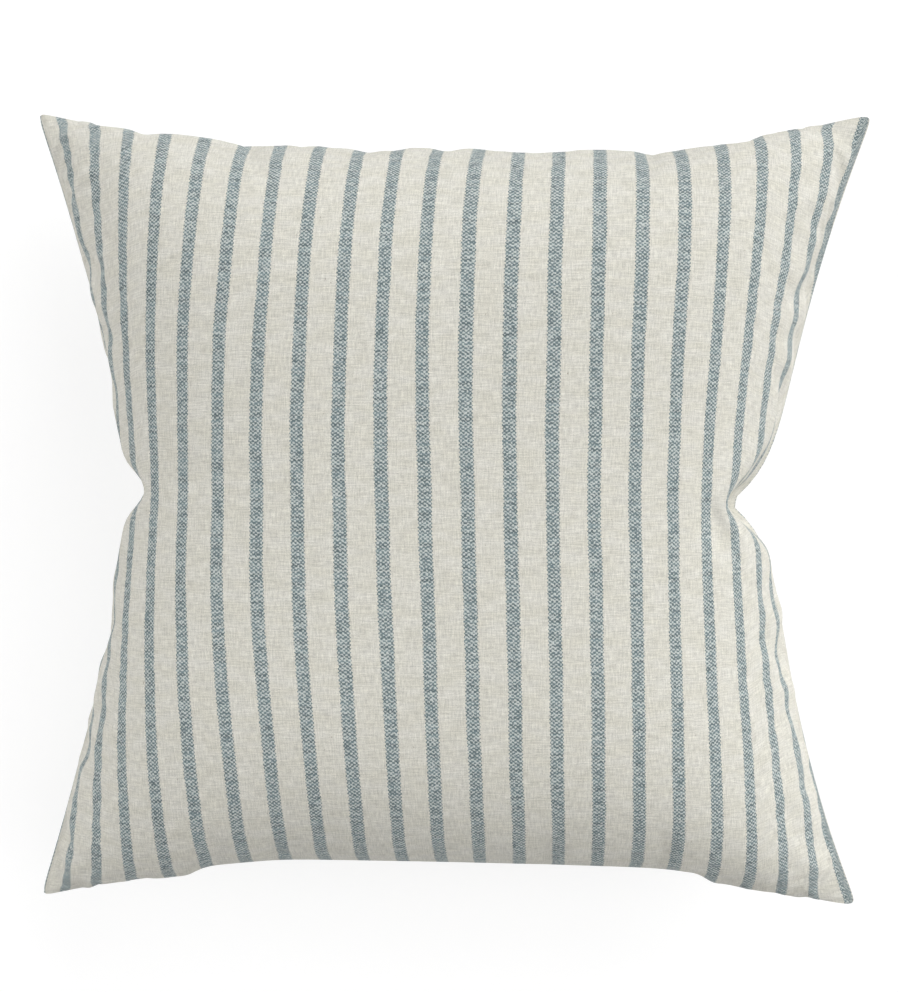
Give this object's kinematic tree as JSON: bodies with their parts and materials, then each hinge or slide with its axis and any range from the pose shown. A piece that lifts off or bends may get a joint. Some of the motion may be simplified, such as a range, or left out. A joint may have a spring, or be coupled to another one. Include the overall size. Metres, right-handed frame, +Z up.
{
  "type": "throw pillow",
  "caption": "Square throw pillow with a striped linen cover, knife-edge seams, a concealed zip and a feather insert.",
  "frame": {"origin": "on the surface the pillow lies on, under the middle of the pillow", "axes": "+Z up, out of the front face; +X across the stripes; +Y along the stripes, away from the zip"},
  "size_m": [0.52, 0.496, 0.1871],
  "materials": {
    "striped_linen": "matte",
    "ticking_cotton": "matte",
    "feathers": "matte",
    "zip_tape": "matte",
    "nylon": "satin",
    "zip_metal": "satin",
    "sewing_thread": "matte",
    "label_satin": "satin"
  },
  "bodies": {
    "cover": {"cover_front_panel": "striped_linen", "cover_back_panel": "striped_linen", "seam_thread_top": "sewing_thread", "seam_thread_left": "sewing_thread", "seam_thread_right": "sewing_thread", "seam_thread_bottom_left": "sewing_thread", "seam_thread_bottom_right": "sewing_thread", "zipper_tape_front": "zip_tape", "zipper_tape_back": "zip_tape", "zipper_coil_front": "nylon", "zipper_coil_back": "nylon", "tape_thread_front": "sewing_thread", "tape_thread_back": "sewing_thread", "zipper_top_stop_front": "zip_metal", "zipper_top_stop_back": "zip_metal", "zipper_bottom_stop": "zip_metal", "care_label": "label_satin", "insert_shell_front": "ticking_cotton", "insert_shell_back": "ticking_cotton", "insert_fill": "feathers", "insert_seam_thread": "sewing_thread", "insert_closing_thread": "sewing_thread", "insert_label": "label_satin"},
    "slider": {"zipper_slider": "zip_metal"},
    "pull": {"zipper_pull": "zip_metal"}
  },
  "joints": [
    {"name": "slider_slide", "type": "slide", "parent": "cover", "child": "slider", "axis": [-1, 0, 0], "range_m": [0, 0.265]},
    {"name": "pull_hinge", "type": "hinge", "parent": "slider", "child": "pull", "pos_m": [0.1325, -0.21305, 0.088], "axis": [0, 0, 1], "range_deg": [0, 140]}
  ]
}
